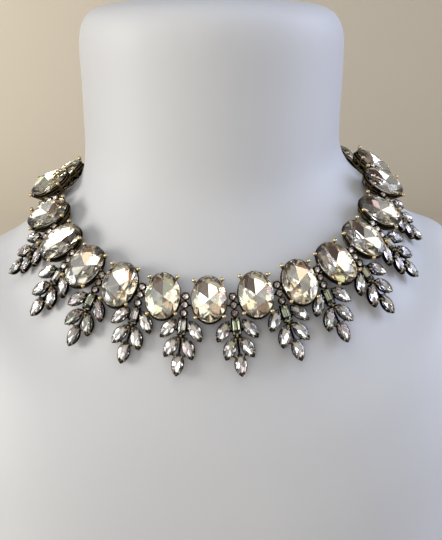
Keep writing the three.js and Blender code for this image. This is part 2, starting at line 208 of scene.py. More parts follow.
def loft(rings, closed=False, caps=True):
    """Faces between rings of equal count; closed joins the last ring to the first."""
    count = len(rings[0])
    points = np.concatenate(rings)
    faces = []
    pairs = len(rings) if closed else len(rings) - 1
    for r in range(pairs):
        a, b = r * count, ((r + 1) % len(rings)) * count
        for i in range(count):
            j = (i + 1) % count
            faces.append([a + i, a + j, b + j, b + i])
    if caps and not closed:
        faces.append(list(range(count))[::-1])
        faces.append(list(range((len(rings) - 1) * count, len(points))))
    return points, faces


def ball(radius, at, rows=6, count=10, squash=(1, 1, 1)):
    rings = []
    for k in range(1, rows):
        a = math.pi * k / rows
        ring = oval_line(math.sin(a), math.sin(a), -math.cos(a), count)
        rings.append(ring)
    points, faces = loft(rings, caps=False)
    low, high = len(points), len(points) + 1
    points = np.vstack([points, [0, 0, -1], [0, 0, 1]])
    top = (rows - 2) * count
    for i in range(count):
        j = (i + 1) % count
        faces.append([low, j, i])
        faces.append([high, top + i, top + j])
    return points * np.array(squash) * radius + np.array(at), faces


def wire(path, radius, sides=7, closed=False):
    """A round wire along a path; radius is one number or one for each point."""
    path = np.asarray(path, float)
    count = len(path)
    radii = np.broadcast_to(np.asarray(radius, float), (count,))
    if closed:
        tangents = np.roll(path, -1, 0) - np.roll(path, 1, 0)
    else:
        tangents = np.gradient(path, axis=0)
    tangents /= np.linalg.norm(tangents, axis=1)[:, None]
    side = np.cross(tangents[0], [0, 0, 1])
    if np.linalg.norm(side) < 0.1:
        side = np.cross(tangents[0], [0, 1, 0])
    rings = []
    turn = circle(sides)
    for at, t, r in zip(path, tangents, radii):
        side = side - t * (side @ t)
        side /= np.linalg.norm(side)
        other = np.cross(t, side)
        rings.append(at + r * (turn[:, :1] * side + turn[:, 1:] * other))
    return loft(rings, closed=closed)


def hoop(outline, profile):
    """A closed rail: outline(grow, z) gives a ring, and profile lists (grow, z)
    round the rail's section."""
    return loft([outline(grow, z) for grow, z in profile], closed=True)


def round_profile(grow, z, radius, sides=8):
    return [(grow + radius * math.cos(a), z + radius * math.sin(a))
            for a in np.arange(sides) / sides * 2 * math.pi]


def placed(x, y, turn_deg=0.0):
    return Matrix.Translation((x, y, 0)) @ Matrix.Rotation(math.radians(turn_deg), 4, "Z")


# %% [markdown]
# ## Cutting the stones
# All the stones are foil-backed fancy cuts. The light that reaches the eye has gone in
# through the clear crown and come back off a mirror painted on the back facets, so a
# crystal is two skins of one closed body: clear glass above the girdle and metal foil
# below it. A flat sheet with a picture of facets would look right from one side only, so
# the facets are cut as geometry. The cut is the classic one: a table, a ring of kites,
# and a fan of narrow halves down to the girdle, then long kites down to the culet.

# %% Outlines of the stones
OVAL_WIDE, OVAL_LONG = 6.5, 9.0     # half the width and length of a large stone


def oval_outline(share):
    a = share * 2 * math.pi
    return OVAL_WIDE * math.cos(a), OVAL_LONG * math.sin(a)


def pointed_outline(wide, long):
    """A navette: two arcs that meet in points at the ends."""
    radius = (wide * wide + long * long) / (2 * wide)
    reach = math.asin(long / radius)

    def outline(share):
        share = share % 1
        right = share < 0.25 or share >= 0.75
        along = (share + 0.25) % 1 * 2
        a = (along % 1 * 2 - 1) * reach
        x = radius * math.cos(a) - (radius - wide)
        y = radius * math.sin(a)
        return (x, y) if right else (-x, -y)
    return outline


def round_outline(radius):
    return lambda share: (radius * math.cos(share * 2 * math.pi),
                          radius * math.sin(share * 2 * math.pi))


# %% The brilliant cut
def fan_points(ring_start, first, steps, rim):
    return [ring_start + (first + i) % rim for i in range(steps + 1)]


# kinds of facet: the clear skin, then the small ones and the big ones of the foil
CLEAR, HALF, KITE = 0, 1, 2


def brilliant(outline, rim, front, table, middle, girdle, back, lower, culet, bulge=0.08):
    """The points and faces of a stone, and the kind of each face. front and back are the
    numbers of kites on each side, and both go into rim a whole even number of times.
    table, middle and lower are (share of the outline, height). bulge pushes out the
    middle of each half, which breaks it into small facets that sparkle one by one."""
    def ring(count, scale, z, shift=0.0):
        return [(*(c * scale for c in outline(((i + shift) / count) % 1)), z)
                for i in range(count)]
    points = (ring(front, *table) + ring(front, *middle, 0.5) + ring(rim, 1, girdle)
              + ring(rim, 1, -girdle) + ring(back, *lower, 0.5) + [(0, 0, culet)])
    kites, upper = front, 2 * front
    under = upper + rim
    lows = under + rim
    tip = lows + back
    faces, kinds = [list(range(front))], [CLEAR]
    wide = rim // front
    for k in range(front):
        after, before = (k + 1) % front, (k - 1) % front
        halves = [fan_points(upper, wide * k + part, wide // 2, rim)
                  for part in (0, wide // 2)]
        faces += [[k, kites + k, after], [k, kites + before, upper + wide * k, kites + k]]
        faces += [[kites + k] + half for half in halves]
        kinds += [CLEAR] * 4
    wide = rim // back
    for k in range(back):
        before = (k - 1) % back
        halves = [fan_points(under, wide * k + part, wide // 2, rim)
                  for part in (0, wide // 2)]
        faces.append([tip, lows + k, under + wide * k, lows + before])
        kinds.append(KITE)
        for half in halves:
            corners = [lows + k] + half[::-1]
            x, y, z = np.mean([points[i] for i in corners], axis=0)
            points.append((x, y, z - bulge))
            faces += [[len(points) - 1, a, b]
                      for a, b in zip(corners, corners[1:] + corners[:1])]
            kinds += [HALF] * len(corners)
    for i in range(rim):
        j = (i + 1) % rim
        faces.append([upper + i, under + i, under + j, upper + j])
        kinds.append(CLEAR)
    return (points, faces), kinds


# %% The step cut, and a tint for each facet
def step_cut(wide, long, shelf):
    """A baguette: terraces that run along it, over a keel."""
    def box(x, y, z):
        return [(x, y, z), (-x, y, z), (-x, -y, z), (x, -y, z)]
    rings = [box(0.42 * wide, long - 0.9, shelf), box(0.7 * wide, long - 0.5, 0.7 * shelf),
             box(wide, long, 0.15), box(wide, long, -0.1),
             box(0.62 * wide, long - 0.7, -0.8), box(0.05, long - 1.3, -1.35)]
    points, faces = loft([np.array(r) for r in rings[::-1]])
    height = np.array(points)[:, 2]
    kinds = [HALF if max(height[i] for i in face) < 0.0 else CLEAR for face in faces]
    return (points, faces), kinds


PAINTED_DARK_SHARE = 0.28               # how many of the small facets get a painted dark reflection
PAINTED_DARK_MAX, LIGHTEST = 0.09, 0.95  # tones below the first are painted dark reflections on the ramps


def facet_tones(kinds, dice):
    """A tint for each facet: clean light ones on the kites, and specks of painted dark
    reflection among the halves."""
    tones = []
    for kind in kinds:
        light = dice.choice([dice.uniform(0.28, 0.5), dice.uniform(0.76, LIGHTEST),
                             dice.uniform(0.1, LIGHTEST)])
        painted_dark = dice.uniform(0.0, PAINTED_DARK_MAX)
        tones.append(painted_dark if kind == HALF and dice.random() < PAINTED_DARK_SHARE else light)
    return tones


def add_stone(stones, cut, tones, move=None):
    """Slot 0 is the clear skin of the stone, and slot 1 its foil."""
    part, kinds = cut
    stones.add(part, slot=np.minimum(kinds, 1), tone=tones, smooth=False, move=move)


# %% [markdown]
# ## Finishes
# Every finish is procedural. Three effects are shared, so they are node groups with named
# sockets: `Rubbed antique metal` mixes a black recess into a bright edge by the rub value
# and breaks it up with noise, `Foil tint` turns a facet's tone into one of the tints that
# the real foil shows or, at the low end, into a painted dark reflection, and `Fine grain`
# gives a colour a slight mottle and a bump height.

# %% Helpers for node trees
def new_group(name, inputs, outputs):
    group = bpy.data.node_groups.new(name, "ShaderNodeTree")
    for label, kind, value in inputs:
        socket = group.interface.new_socket(label, in_out="INPUT", socket_type=kind)
        socket.default_value = value
    for label, kind in outputs:
        group.interface.new_socket(label, in_out="OUTPUT", socket_type=kind)
    take = group.nodes.new("NodeGroupInput")
    give = group.nodes.new("NodeGroupOutput")
    return group, take, give


def node(tree, kind, **settings):
    made = tree.nodes.new(kind)
    for key, value in settings.items():
        if key in made.inputs:
            made.inputs[key].default_value = value
        else:
            setattr(made, key, value)
    return made


def noise(tree, scale, detail=3.0, rough=0.5):
    where = tree.nodes.new("ShaderNodeTexCoord")
    made = node(tree, "ShaderNodeTexNoise", Scale=scale, Detail=detail, Roughness=rough)
    tree.links.new(where.outputs["Object"], made.inputs["Vector"])
    return made


def math_node(tree, operation, a, b, clamp=False):
    made = tree.nodes.new("ShaderNodeMath")
    made.operation = operation
    made.use_clamp = clamp
    for socket, value in zip(made.inputs, (a, b)):
        if isinstance(value, (int, float)):
            socket.default_value = value
        else:
            tree.links.new(value, socket)
    return made.outputs[0]


# a Mix node lists the sockets of every data type, and these are the colour ones
MIX_SHARE, MIX_FIRST, MIX_SECOND, MIX_RESULT = 0, 6, 7, 2


def blend_colours(tree, share, first, second):
    made = node(tree, "ShaderNodeMix", data_type="RGBA")
    for place, value in ((MIX_SHARE, share), (MIX_FIRST, first), (MIX_SECOND, second)):
        socket = made.inputs[place]
        if isinstance(value, bpy.types.NodeSocket):
            tree.links.new(value, socket)
        else:
            socket.default_value = value
    return made.outputs[MIX_RESULT]


# %% The rubbed metal group
FINE_SHARE, BROAD_SHARE = 0.6, 0.5      # of the two noises in the patches
PATCH_MIDDLE, PATCH_REACH = 0.55, 0.6   # their mean, and how far they move the rub
DULL, POLISH, SPREAD = 0.52, 0.27, 0.25  # roughness when black, less when worn, and its mottle


def rubbed_metal_group():
    group, take, give = new_group(
        "Rubbed antique metal",
        [("Rub", "NodeSocketFloat", 0.0),
         ("Recess", "NodeSocketColor", (0.02, 0.016, 0.012, 1)),
         ("Edge", "NodeSocketColor", (0.6, 0.42, 0.18, 1)),
         ("Grain", "NodeSocketFloat", 900.0)],
        [("Colour", "NodeSocketColor"), ("Roughness", "NodeSocketFloat"),
         ("Height", "NodeSocketFloat")])
    link = group.links.new
    fine = noise(group, 900.0, 4.0, 0.6)
    link(take.outputs["Grain"], fine.inputs["Scale"])
    broad = noise(group, 260.0, 2.0)
    patchy = math_node(group, "ADD",
                       math_node(group, "MULTIPLY", fine.outputs["Fac"], FINE_SHARE),
                       math_node(group, "MULTIPLY", broad.outputs["Fac"], BROAD_SHARE))
    shift = math_node(group, "SUBTRACT", patchy, PATCH_MIDDLE)
    worn = math_node(group, "ADD", take.outputs["Rub"],
                     math_node(group, "MULTIPLY", shift, PATCH_REACH), clamp=True)
    link(blend_colours(group, worn, take.outputs["Recess"], take.outputs["Edge"]),
         give.inputs["Colour"])
    rough = math_node(group, "SUBTRACT", DULL, math_node(group, "MULTIPLY", worn, POLISH))
    link(math_node(group, "ADD", rough, math_node(group, "MULTIPLY", shift, SPREAD), clamp=True),
         give.inputs["Roughness"])
    link(fine.outputs["Fac"], give.inputs["Height"])
    return group


metal_group = rubbed_metal_group()

# %% The foil tint group
def tint_ramp(group, stops):
    ramp = group.nodes.new("ShaderNodeValToRGB")
    ramp.color_ramp.interpolation = "CONSTANT"
    ramp.color_ramp.elements[0].color = (*stops[0][1], 1)
    ramp.color_ramp.elements.remove(ramp.color_ramp.elements[1])
    for place, colour in stops[1:]:
        ramp.color_ramp.elements.new(place).color = (*colour, 1)
    return ramp


# cream, pale pink and pale green, with a painted dark reflection at the low end; the small stones
# are cooler
WARM_TINTS_AND_PAINTED_DARK = [(0.0, (0.2, 0.12, 0.08)), (0.05, (0.5, 0.37, 0.26)), (0.10, (0.9, 0.82, 0.63)),
              (0.28, (1.0, 0.97, 0.86)), (0.50, (0.97, 0.87, 0.78)), (0.64, (0.84, 0.88, 0.64)),
              (0.76, (1.0, 0.965, 0.85)), (0.95, (0.72, 0.62, 0.62)), (0.98, (0.93, 0.80, 0.68))]
COOL_TINTS_AND_PAINTED_DARK = [(0.0, (0.12, 0.11, 0.10)), (0.10, (0.45, 0.41, 0.40)), (0.18, (0.84, 0.78, 0.77)),
              (0.40, (0.98, 0.96, 0.93)), (0.64, (0.8, 0.83, 0.66)), (0.74, (1.0, 0.98, 0.94)),
              (0.90, (0.88, 0.72, 0.74)), (0.95, (0.8, 0.82, 0.5)),
              (0.97, (0.52, 0.53, 0.46)), (0.99, (0.52, 0.41, 0.36))]


HAZE_COLOUR = (0.75, 0.72, 0.66, 1)
FOIL_ROUGH, CLOUD_ROUGH = 0.03, 0.1     # a clean mirror, and what a cloudy patch adds


def foil_tint_group(name, stops):
    group, take, give = new_group(
        name, [("Tone", "NodeSocketFloat", 0.5), ("Haze", "NodeSocketFloat", 0.1)],
        [("Colour", "NodeSocketColor"), ("Roughness", "NodeSocketFloat")])
    ramp = tint_ramp(group, stops)
    group.links.new(take.outputs["Tone"], ramp.inputs[0])
    cloud = noise(group, 420.0, 2.0)
    share = math_node(group, "MULTIPLY", cloud.outputs["Fac"], take.outputs["Haze"])
    mottled = blend_colours(group, share, ramp.outputs[0], HAZE_COLOUR)
    group.links.new(mottled, give.inputs["Colour"])
    rough = math_node(group, "ADD", FOIL_ROUGH,
                      math_node(group, "MULTIPLY", cloud.outputs["Fac"], CLOUD_ROUGH))
    group.links.new(rough, give.inputs["Roughness"])
    return group


warm_foil_group = foil_tint_group("Foil tint warm", WARM_TINTS_AND_PAINTED_DARK)
cool_foil_group = foil_tint_group("Foil tint cool", COOL_TINTS_AND_PAINTED_DARK)

# %% The fine grain group
def fine_grain_group():
    group, take, give = new_group(
        "Fine grain",
        [("Base", "NodeSocketColor", (0.8, 0.8, 0.8, 1)),
         ("Mottle", "NodeSocketColor", (0.7, 0.7, 0.7, 1)),
         ("Amount", "NodeSocketFloat", 0.3), ("Scale", "NodeSocketFloat", 30.0),
         ("Gloss low", "NodeSocketFloat", 0.5), ("Gloss high", "NodeSocketFloat", 0.6)],
        [("Colour", "NodeSocketColor"), ("Roughness", "NodeSocketFloat"),
         ("Height", "NodeSocketFloat")])
    link = group.links.new
    broad = noise(group, 30.0, 4.0)
    link(take.outputs["Scale"], broad.inputs["Scale"])
    fine = noise(group, 1500.0, 2.0)
    share = math_node(group, "MULTIPLY", broad.outputs["Fac"], take.outputs["Amount"])
    link(blend_colours(group, share, take.outputs["Base"], take.outputs["Mottle"]),
         give.inputs["Colour"])
    span = math_node(group, "SUBTRACT", take.outputs["Gloss high"], take.outputs["Gloss low"])
    link(math_node(group, "ADD", take.outputs["Gloss low"],
                   math_node(group, "MULTIPLY", span, fine.outputs["Fac"])),
         give.inputs["Roughness"])
    link(fine.outputs["Fac"], give.inputs["Height"])
    return group


grain_group = fine_grain_group()
print("node groups:", [g.name for g in bpy.data.node_groups])

# %% Materials built on the groups
def new_material(name, **sockets):
    material = bpy.data.materials.new(name)
    material.use_nodes = True
    shader = material.node_tree.nodes["Principled BSDF"]
    for label, value in sockets.items():
        shader.inputs[label.replace("_", " ")].default_value = value
    return material, material.node_tree, shader


def add_group(tree, group, **values):
    made = tree.nodes.new("ShaderNodeGroup")
    made.node_tree = group
    for label, value in values.items():
        made.inputs[label.replace("_", " ")].default_value = value
    return made


def bump(tree, height, shader, strength, distance):
    made = node(tree, "ShaderNodeBump", Strength=strength, Distance=distance)
    tree.links.new(height, made.inputs["Height"])
    tree.links.new(made.outputs["Normal"], shader.inputs["Normal"])


SCRATCH_DEPTH = 0.00008


def rubbed_metal(name, recess, edge, grain, sheer):
    """sheer is how bright the metal goes where it is seen at a low angle."""
    material, tree, shader = new_material(name, Metallic=1.0,
                                          Specular_Tint=(sheer, sheer, sheer, 1))
    rub = node(tree, "ShaderNodeAttribute", attribute_name="rub")
    worn = add_group(tree, metal_group, Recess=(*recess, 1), Edge=(*edge, 1), Grain=grain)
    tree.links.new(rub.outputs["Fac"], worn.inputs["Rub"])
    tree.links.new(worn.outputs["Colour"], shader.inputs["Base Color"])
    tree.links.new(worn.outputs["Roughness"], shader.inputs["Roughness"])
    bump(tree, worn.outputs["Height"], shader, 0.35, SCRATCH_DEPTH)
    return material


def foil(name, group, mirror):
    material, tree, shader = new_material(name, Metallic=mirror)
    tone = node(tree, "ShaderNodeAttribute", attribute_name="tone")
    tint = add_group(tree, group, Haze=0.12)
    tree.links.new(tone.outputs["Fac"], tint.inputs["Tone"])
    tree.links.new(tint.outputs["Colour"], shader.inputs["Base Color"])
    tree.links.new(tint.outputs["Roughness"], shader.inputs["Roughness"])
    return material


def crystal_glass(name, base, mottle):
    material, tree, shader = new_material(name, Roughness=0.0, IOR=1.54, Metallic=0.0)
    shader.inputs["Transmission Weight"].default_value = 1.0
    grain = add_group(tree, grain_group, Base=(*base, 1), Mottle=(*mottle, 1),
                      Amount=0.5, Scale=300.0)
    tree.links.new(grain.outputs["Colour"], shader.inputs["Base Color"])
    return material


def grained(name, base, mottle, amount, scale, gloss, strength, distance):
    material, tree, shader = new_material(name)
    grain = add_group(tree, grain_group, Base=(*base, 1), Mottle=(*mottle, 1), Amount=amount,
                      Scale=scale, Gloss_low=gloss[0], Gloss_high=gloss[1])
    tree.links.new(grain.outputs["Colour"], shader.inputs["Base Color"])
    tree.links.new(grain.outputs["Roughness"], shader.inputs["Roughness"])
    bump(tree, grain.outputs["Height"], shader, strength, distance)
    return material


# %% The finishes of this piece
antique_brass = rubbed_metal("antique brass", recess=(0.013, 0.010, 0.007),
                             edge=(0.74, 0.57, 0.31), grain=700.0, sheer=0.3)
black_casting = rubbed_metal("oxidised casting", recess=(0.012, 0.011, 0.010),
                             edge=(0.62, 0.48, 0.27), grain=1100.0, sheer=0.25)
# both foils show painted dark reflections on the facets with the lowest tones
warm_foil = foil("champagne foil", warm_foil_group, 0.96)
cool_foil = foil("smoke foil", cool_foil_group, 0.98)
clear_crystal = crystal_glass("clear crystal", (0.99, 0.98, 0.96), (0.96, 0.94, 0.9))
smoke_crystal = crystal_glass("faint grey crystal", (0.95, 0.96, 0.95), (0.9, 0.92, 0.9))
bust_white = grained("matte white bust", base=(0.60, 0.60, 0.60), mottle=(0.555, 0.56, 0.565),
                     amount=0.5, scale=18.0, gloss=(0.5, 0.62), strength=0.12, distance=0.0002)
print(len(bpy.data.materials), "materials")

# %% [markdown]
# ## The oval settings
# A setting is an open basket: a thin bright rim under the stone, a black groove, a second
# rail, a gallery of small arches that narrows to a back rail, and four prongs of wire that
# run from the back rail up past the girdle and end in a ball. Rails are hoops with a
# round section, the arches are one wire that rises and falls all the way round, and the
# whole basket is one mesh that all sixteen links share.

# %% Build the basket
BASKET_STEPS = 56               # points round a rail
GALLERY_LOW, GALLERY_RISE = -4.35, 2.15
# how worn each side of a round rail is, from its outside up over the top and round
RAIL_WEAR = np.array([0.5, -0.05, -0.4, -0.4, -0.4, -0.4, -0.3, -0.1])


def basket_outline(grow, z):
    return oval_line(OVAL_WIDE + grow, OVAL_LONG + grow, z, BASKET_STEPS)


def gallery_path(arches=16, steps=12):
    count = arches * steps
    a = np.arange(count) / count * 2 * math.pi
    rise = np.abs(np.sin(a * arches / 2)) ** 0.55
    z = GALLERY_LOW + GALLERY_RISE * rise
    grow = np.interp(z, [-4.6, -2.0], [-1.5, 0.12])
    return np.column_stack([(OVAL_WIDE + grow) * np.cos(a), (OVAL_LONG + grow) * np.sin(a), z])


def prong_path(sx, sy):
    marks = np.array([[3.35, 5.35, -4.75], [3.9, 5.95, -3.4], [4.45, 6.6, -1.9],
                      [4.95, 7.0, -0.6], [5.2, 7.2, 0.35]])
    t = np.linspace(0, len(marks) - 1, 11)
    path = np.stack([np.interp(t, range(len(marks)), marks[:, k]) for k in range(3)], 1)
    return path * [sx, sy, 1]


def add_rail(basket, grow, z, radius, less=0.0):
    rail = hoop(basket_outline, round_profile(grow, z, radius))
    basket.add(rail, rub=np.repeat(RAIL_WEAR - less, BASKET_STEPS))


def make_basket():
    basket = Casting()
    add_rail(basket, -0.25, -0.98, 0.2)
    groove = hoop(basket_outline, [(-0.15, -1.05), (-0.3, -1.9), (-0.85, -1.9), (-0.85, -1.05)])
    basket.add(groove, rub=-0.25)
    add_rail(basket, 0.0, -1.95, 0.27, less=0.1)
    basket.add(wire(gallery_path(), 0.25, 6, closed=True), rub=0.2)
    add_rail(basket, -1.55, -4.62, 0.36, less=0.05)
    seat = hoop(basket_outline, [(-0.85, -1.2), (-2.3, -4.3), (-2.6, -4.3), (-1.15, -1.2)])
    basket.add(seat, rub=-0.35)
    for sx in (1, -1):
        for sy in (1, -1):
            path = prong_path(sx, sy)
            basket.add(wire(path, np.linspace(0.42, 0.36, len(path)), 8), rub=0.22)
            basket.add(ball(0.8, path[-1] + [0, 0, 0.08], 8, 14), rub=0.95)
            basket.add(ball(0.42, path[0], 6, 8), rub=0.4)
    return basket


basket_mesh = make_basket().mesh("oval basket", [antique_brass])
print("basket", len(basket_mesh.polygons), "faces")

# %% Place the baskets and the large ovals
def add_piece(name, mesh, matrix, replaced):
    piece = bpy.data.objects.new(name, mesh)
    bpy.context.scene.collection.objects.link(piece)
    piece.matrix_world = matrix
    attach(piece, "root")
    for replaced_name in replaced:
        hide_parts(replaced_name)


OVAL_CUT = brilliant(oval_outline, rim=48, front=8, table=(0.6, 2.0), middle=(0.83, 1.22),
                     girdle=0.14, back=6, lower=(0.62, -1.16), culet=-2.35, bulge=0.16)
OVAL_SEED, LEAF_SEED, BAR_SEED = 400, 700, 800


def make_oval(dice):
    kinds = OVAL_CUT[1]
    tones = facet_tones(kinds, dice)
    kites = [i for i, kind in enumerate(kinds) if kind == KITE]
    # one of the two upper kites gets a painted dark reflection of the room
    tones[kites[dice.choice([1, 2])]] = dice.uniform(0.02, PAINTED_DARK_MAX)
    stone = Casting()
    add_stone(stone, OVAL_CUT, tones)
    return stone


for index, name in enumerate(oval_names):
    number = name[-2:]
    at = oval_at[name]
    dice = random.Random(OVAL_SEED + index)
    crystal = make_oval(dice).mesh(f"oval crystal {number}", [clear_crystal, warm_foil])
    add_piece(f"crystal_oval_{number}", crystal, at, [name])
    add_piece(f"brass_basket_{number}", basket_mesh, at, [f"oval_setting_{number}"])
print(len(oval_names), "oval links placed, with", len(OVAL_CUT[1]), "facets on each stone")

# %% [markdown]
# ## The bars and the leaf drops
# Between two ovals hangs a bar of three small round stones, and from all but the end bars
# grows a leaf: a baguette, two pairs of navettes and one more at the tip. The real one is
# one casting, dipped black and rubbed until the lips and claws shine. Each stone sits in a
# cup, so one cup function takes the stone's outline, and the leaf is a list of places.

# %% A cup and its claws
def cup(outline, wall, count, depth=1.7, taper=0.22):
    """A wall round a stone's outline, wider at the lip than at the foot."""
    def ring(grow, z):
        points = []
        for i in range(count):
            x, y = outline(i / count)
            length = math.hypot(x, y)
            scale = (length + grow) / length
            points.append((x * scale, y * scale, z))
        return np.array(points)
    profile = [(0.0, -0.05), (wall * 0.6, 0.03), (wall, -0.15), (wall * 0.95, -0.75),
               (wall - taper, -depth), (-0.45, -depth), (-0.25, -0.9)]
    rub = np.repeat([-0.2, 0.02, -0.02, -0.2, 0.22, -0.1, -0.3], count)
    return loft([ring(g, z) for g, z in profile], closed=True), rub


def claw(x, y, reach=0.42, size=0.27, low=-0.9, high=0.34):
    out = np.array([x, y, 0.0])
    out /= np.linalg.norm(out)
    marks = np.array([x, y, 0.0]) + np.outer([0.42, 0.44, 0.3, -reach], out)
    marks[:, 2] = [low, low * 0.3, high * 0.6, high]
    return wire(marks, [size * 0.8, size, size, size * 0.7], 6)


# %% The bar of three rounds
GREEN_GREY, ROSE_BROWN = 0.98, 0.995     # places on the cool tint ramp
ROUND_TONES = [ROSE_BROWN, ROSE_BROWN, 0.92, 0.5, 0.5]
ROUND_STEP = 3.05                        # from one round stone to the next
round_line = round_outline(1.05)
ROUND_CUT = brilliant(round_line, rim=24, front=6, table=(0.55, 0.5), middle=(0.8, 0.31),
                      girdle=0.04, back=6, lower=(0.6, -0.4), culet=-0.75)


def add_bar(metal, stones, dice):
    for row in (1, 0, -1):
        move = placed(0, row * ROUND_STEP)
        wall, rub = cup(round_line, 0.5, 18)
        metal.add(wall, rub=rub, move=move)
        add_stone(stones, ROUND_CUT, [dice.choice(ROUND_TONES) for _ in ROUND_CUT[1]], move)
    for row in (1.5, 0.5, -0.5, -1.5):
        for side in (1, -1):
            metal.add(ball(0.31, (side * 0.98, row * ROUND_STEP, 0.1), 5, 8, (1, 1, 0.9)),
                      rub=0.75)
    spine = [(0, -4.3, -1.35), (0, 0, -1.35), (0, 4.3, -1.35)]
    metal.add(wire(spine, 0.4, 8), rub=0.05)


def add_jump_links(metal):
    """A black link to each neighbour, with a bright bead where it meets the basket."""
    route = ((1.1, -1.2), (1.6, -1.05), (2.1, -1.3), (2.45, -1.75))
    for side in (1, -1):
        path = [(side * x, 0.0, z) for x, z in route]
        metal.add(wire(path, 0.36, 8), rub=0.0)
        metal.add(ball(0.42, path[-1], 6, 8), rub=0.8)


# %% The leaf of navettes
LEAF_PAIRS = [(5.0, -9.2, 35), (3.3, -15.8, 25)]     # x, y and turn of the upper and lower pair
TIP_Y, BAGUETTE_Y, BOSS_Y = -21.9, -7.95, -12.2
BAGUETTE_WIDE, BAGUETTE_LONG = 1.32, 2.9             # half sizes
BAGUETTE_TONES = [GREEN_GREY, GREEN_GREY, 0.12, 0.68]
navette_line = pointed_outline(2.08, 4.25)
NAVETTE_CUT = brilliant(navette_line, rim=32, front=8, table=(0.52, 0.62), middle=(0.78, 0.385),
                        girdle=0.06, back=4, lower=(0.55, -0.62), culet=-0.98)
BAGUETTE_CUT = step_cut(BAGUETTE_WIDE, BAGUETTE_LONG, 0.8)
print("facets: round", len(ROUND_CUT[1]), "navette", len(NAVETTE_CUT[1]),
      "baguette", len(BAGUETTE_CUT[1]))


def box_outline(wide, long, corner=0.12):
    marks = [(wide, 0), (wide, long - corner), (wide - corner, long),
             (0, long), (corner - wide, long), (-wide, long - corner),
             (-wide, 0), (-wide, corner - long), (corner - wide, -long),
             (0, -long), (wide - corner, -long), (wide, corner - long)]

    def outline(share):
        return marks[int(round(share * len(marks))) % len(marks)]
    return outline


def add_navette(metal, stones, dice, move):
    wall, rub = cup(navette_line, 0.27, 28)
    metal.add(wall, rub=rub, move=move)
    add_stone(stones, NAVETTE_CUT, facet_tones(NAVETTE_CUT[1], dice), move)
    for sx in (1, -1):
        for sy in (1, -1):
            metal.add(claw(sx * 1.12, sy * 2.85), rub=0.8, move=move)


def add_leaf(metal, stones, dice):
    for x, y, turn in LEAF_PAIRS:
        for side in (1, -1):
            add_navette(metal, stones, dice, placed(side * x, y, side * turn))
    add_navette(metal, stones, dice, placed(0, TIP_Y))
    middle = placed(0, BAGUETTE_Y)
    wall, rub = cup(box_outline(BAGUETTE_WIDE, BAGUETTE_LONG), 0.6, 12, depth=1.75, taper=0.1)
    metal.add(wall, rub=rub - 0.3, smooth=False, move=middle)
    add_stone(stones, BAGUETTE_CUT, [dice.choice(BAGUETTE_TONES) for _ in BAGUETTE_CUT[1]], middle)
    for side in (1, -1):
        bent = [(side * 1.5, BAGUETTE_Y - 2.6, -0.3), (side * 1.45, BAGUETTE_Y - 2.55, 0.1),
                (side * 1.15, BAGUETTE_Y - 2.45, 0.3)]
        metal.add(wire(bent, 0.24, 6), rub=0.7)
    metal.add(ball(1.0, (0, BOSS_Y, -0.9), 8, 14, (1.55, 0.95, 0.75)), rub=0.0)
    for x, y in ((0, 0.75), (0.85, -0.45), (-0.85, -0.45)):
        metal.add(ball(0.42, (x, BOSS_Y + y, -0.1), 6, 10), rub=0.8)


def add_struts(metal):
    """The black bars that show in the gap between the lower pair."""
    stem = [(0, BOSS_Y, -1.2), (0, -15.5, -1.25), (0, TIP_Y + 3.8, -1.2)]
    metal.add(wire(stem, 0.42, 8), rub=0.0)
    metal.add(wire([(-3.4, -9.0, -1.3), (0, -9.6, -1.3), (3.4, -9.0, -1.3)], 0.5, 8), rub=0.0)
    for side in (1, -1):
        stay = [(side * 0.7, BOSS_Y - 0.4, -1.2), (side * 2.2, -14.0, -1.4)]
        metal.add(wire(stay, 0.4, 8), rub=0.0)
        brace = [(side * 2.9, -18.2, -1.3), (side * 1.6, -18.9, -1.3),
                 (side * 0.9, TIP_Y + 2.2, -1.3)]
        metal.add(wire(brace, 0.4, 7), rub=0.1)
        metal.add(ball(0.36, (side * 1.75, -18.6, -0.75), 6, 8), rub=0.6)


# %% Place the bars and drops
shared_metal = {}


def link_pair(kind, name, at, with_leaf, seed):
    dice = random.Random(seed)
    metal, stones = Casting(), Casting()
    add_bar(metal, stones, dice)
    add_jump_links(metal)
    if with_leaf:
        add_leaf(metal, stones, dice)
        add_struts(metal)
    number = name[-2:]
    if kind not in shared_metal:
        shared_metal[kind] = metal.mesh(f"{kind} casting", [black_casting])
        print(kind, "casting", len(shared_metal[kind].polygons), "faces")
    add_piece(f"black_{kind}_{number}", shared_metal[kind], at, [name])
    crystals = stones.mesh(f"{kind} stones {number}", [smoke_crystal, cool_foil])
    add_piece(f"stones_of_{kind}_{number}", crystals, at, [name])


for index, name in enumerate(drop_names):
    link_pair("leaf", name, drop_at[name], True, LEAF_SEED + index)
for index, name in enumerate(bar_names):
    link_pair("bar", name, bar_at[name], False, BAR_SEED + index)

# %% [markdown]
# ## The chain and the clasp
# Behind the neck the links give way to a plain chain. The CAD holds each half as one tube,
# and the middle of that tube is the route. Real links are bent wire, each turned a quarter
# turn from the last, so one link is a stretched ring, and copies of it follow the route.

# %% Find the route and hang the links on it
def tube_middle(name, sides=8):
    points = corner_points(name)
    angle = np.unwrap(np.arctan2(points[:, 0], points[:, 1]))
    order = np.argsort(np.mod(angle + math.pi, 2 * math.pi))
    points = points[order]
    rows = len(points) // sides
    return np.array([points[k * sides:(k + 1) * sides].mean(0) for k in range(rows)])


def link_ring(long, wide, radius, flat):
    a = np.arange(20) / 20 * 2 * math.pi
    x = long * np.sign(np.cos(a)) * np.abs(np.cos(a)) ** 0.8
    y = wide * np.sin(a)
    path = np.stack([x, y, np.zeros(20)] if flat else [x, np.zeros(20), y], 1)
    return wire(path, radius, 7, closed=True)


LINK_PITCH = 2.35               # mm of chain to one link, at the least
END_SLACK = 1.0                 # mm of the tube that the links leave free


